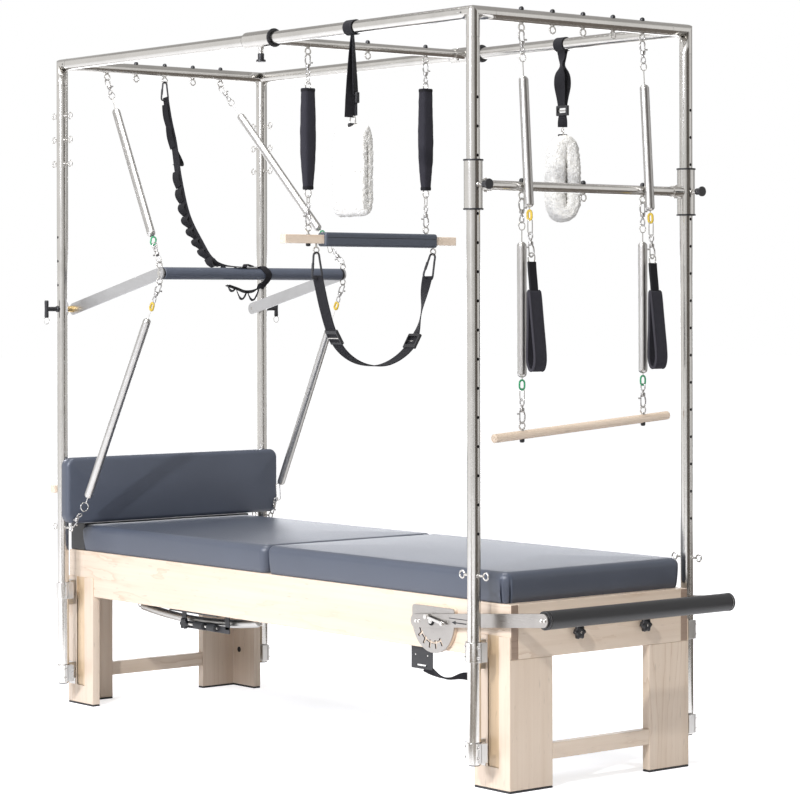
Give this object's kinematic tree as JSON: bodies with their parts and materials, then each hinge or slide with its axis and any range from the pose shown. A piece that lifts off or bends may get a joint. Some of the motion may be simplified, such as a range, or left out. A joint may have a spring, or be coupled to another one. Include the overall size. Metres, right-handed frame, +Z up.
{
  "type": "pilates trapeze table",
  "caption": "Full-height pilates trapeze table: maple table with vinyl mat, polished tube canopy, sliding bars, push-through bar, foot bar, springs, straps and loops.",
  "frame": {"origin": "on the floor, under the middle of the whole table", "axes": "+X towards the foot end, +Y towards the far side from the latch, +Z up"},
  "size_m": [2.422, 0.9821, 2.1781],
  "materials": {
    "polished_steel": "polished stainless tube",
    "satin_steel": "satin grey",
    "spring_steel": "tight dull coils",
    "maple": "clear satin lacquer",
    "blue_grey_vinyl": "satin vinyl, fine grain",
    "black_plastic": "moulded",
    "black_rubber": "matt",
    "black_webbing": "woven webbing",
    "white_fleece": "curly fleece",
    "black_steel": "powder coated"
  },
  "bodies": {
    "table": {"rail_near": "maple", "rail_far": "maple", "end_board_foot": "maple", "end_board_head": "maple", "leg_foot_near": "maple", "leg_foot_far": "maple", "leg_head_near": "maple", "leg_head_far": "maple", "foot_pad_foot_near": "black_rubber", "foot_pad_foot_far": "black_rubber", "foot_pad_head_near": "black_rubber", "foot_pad_head_far": "black_rubber", "stretcher_foot": "maple", "stretcher_head": "maple", "mat_head": "blue_grey_vinyl", "mat_foot": "blue_grey_vinyl", "headboard_cushion": "blue_grey_vinyl", "headboard_batten": "maple", "post_foot_near": "polished_steel", "post_foot_far": "polished_steel", "post_head_near": "polished_steel", "post_head_far": "polished_steel", "long_beam_near": "polished_steel", "long_beam_far": "polished_steel", "cross_beam_foot": "polished_steel", "cross_beam_head": "polished_steel", "push_upper_spring_near": "spring_steel", "push_upper_spring_far": "spring_steel", "push_lower_spring_near": "spring_steel", "push_lower_spring_far": "spring_steel", "daisy_strap": "black_webbing", "foot_bar_plate_near": "satin_steel", "foot_bar_plate_far": "satin_steel", "storage_bracket": "black_steel", "strap_plate": "black_steel"},
    "foot_bar": {"foot_bar": "satin_steel"},
    "foot_bar_latch": {"foot_bar_latch": "satin_steel"},
    "sliding_bar": {"sliding_bar": "polished_steel"},
    "sliding_pin_near": {"sliding_bar_pin_near": "black_plastic"},
    "sliding_pin_far": {"sliding_bar_pin_far": "black_plastic"},
    "dowel_swing": {"dowel": "maple", "dowel_spring_near": "spring_steel", "dowel_spring_far": "spring_steel"},
    "travelling_bar": {"travelling_bar": "polished_steel"},
    "travelling_pin": {"travelling_bar_pin": "black_plastic"},
    "roll_down": {"roll_down_bar": "maple", "roll_down_spring_near": "black_webbing", "roll_down_spring_far": "black_webbing"},
    "sling": {"sling": "black_webbing"},
    "push_through_bar": {"push_through_bar": "satin_steel"},
    "push_pin_near": {"push_bar_pin_near": "black_plastic"},
    "push_pin_far": {"push_bar_pin_far": "black_plastic"},
    "loop_near": {"loop_spring_near": "spring_steel", "hand_loop_near": "black_webbing"},
    "loop_far": {"loop_spring_far": "spring_steel", "hand_loop_far": "black_webbing"},
    "fleece_near": {"fleece_loop_near": "white_fleece"},
    "fleece_far": {"fleece_loop_far": "white_fleece"},
    "star_knob_near": {"star_knob_near": "black_plastic"},
    "star_knob_far": {"star_knob_far": "black_plastic"}
  },
  "joints": [
    {"name": "foot_bar_hinge", "type": "hinge", "parent": "table", "child": "foot_bar", "pos_m": [0.7185, 0, 0.45], "axis": [0, -1, 0], "range_deg": [0, 100]},
    {"name": "latch_hinge", "type": "hinge", "parent": "foot_bar", "child": "foot_bar_latch", "pos_m": [0.7035, 0, 0.461], "axis": [0, -1, 0], "range_deg": [0, 30]},
    {"name": "sliding_bar_slide", "type": "slide", "parent": "table", "child": "sliding_bar", "axis": [0, 0, 1], "range_m": [-0.32, 0]},
    {"name": "sliding_pin_near_pull", "type": "slide", "parent": "sliding_bar", "child": "sliding_pin_near", "axis": [1, 0, 0], "range_m": [0, 0.01], "stiffness_N_per_m": 300, "springref_m": -0.005},
    {"name": "sliding_pin_far_pull", "type": "slide", "parent": "sliding_bar", "child": "sliding_pin_far", "axis": [1, 0, 0], "range_m": [0, 0.01], "stiffness_N_per_m": 300, "springref_m": -0.005},
    {"name": "dowel_hinge", "type": "hinge", "parent": "sliding_bar", "child": "dowel_swing", "pos_m": [0.9615, 0, 1.6385], "axis": [0, 1, 0], "range_deg": [0, 30]},
    {"name": "travelling_bar_slide", "type": "slide", "parent": "table", "child": "travelling_bar", "axis": [1, 0, 0], "range_m": [-0.32, 0.25]},
    {"name": "travelling_pin_pull", "type": "slide", "parent": "travelling_bar", "child": "travelling_pin", "axis": [0, 0, -1], "range_m": [0, 0.01], "stiffness_N_per_m": 300, "springref_m": -0.005},
    {"name": "roll_down_hinge", "type": "hinge", "parent": "travelling_bar", "child": "roll_down", "pos_m": [-0.0185, 0, 2.1135], "axis": [0, -1, 0], "range_deg": [-15, 15]},
    {"name": "sling_hinge", "type": "hinge", "parent": "roll_down", "child": "sling", "pos_m": [-0.0185, 0, 1.501], "axis": [0, -1, 0], "range_deg": [-15, 15]},
    {"name": "push_through_hinge", "type": "hinge", "parent": "table", "child": "push_through_bar", "pos_m": [-1.1385, 0, 1.332], "axis": [0, -1, 0], "range_deg": [-82, 62], "stiffness_Nm_per_rad": 60, "springref_deg": 11.46, "deforming": ["push_upper_spring_near", "push_upper_spring_far", "push_lower_spring_near", "push_lower_spring_far", "daisy_strap"]},
    {"name": "push_pin_near_pull", "type": "slide", "parent": "table", "child": "push_pin_near", "axis": [0, -1, 0], "range_m": [0, 0.03]},
    {"name": "push_pin_far_pull", "type": "slide", "parent": "table", "child": "push_pin_far", "axis": [0, 1, 0], "range_m": [0, 0.03]},
    {"name": "loop_near_hinge", "type": "hinge", "parent": "table", "child": "loop_near", "pos_m": [0.9615, -0.236, 2.1085], "axis": [0, -1, 0], "range_deg": [0, 60]},
    {"name": "loop_far_hinge", "type": "hinge", "parent": "table", "child": "loop_far", "pos_m": [0.9615, 0.236, 2.1085], "axis": [0, -1, 0], "range_deg": [0, 60]},
    {"name": "fleece_near_hinge", "type": "hinge", "parent": "table", "child": "fleece_near", "pos_m": [0.4285, -0.415, 2.15], "axis": [-1, 0, 0], "range_deg": [-5, 45]},
    {"name": "fleece_far_hinge", "type": "hinge", "parent": "table", "child": "fleece_far", "pos_m": [0.4285, 0.415, 2.15], "axis": [1, 0, 0], "range_deg": [-5, 45]},
    {"name": "star_knob_near_turn", "type": "hinge", "parent": "table", "child": "star_knob_near", "pos_m": [1.034, -0.101, 0.428], "axis": [1, 0, 0], "continuous": true},
    {"name": "star_knob_far_turn", "type": "hinge", "parent": "table", "child": "star_knob_far", "pos_m": [1.034, 0.159, 0.428], "axis": [1, 0, 0], "continuous": true}
  ]
}
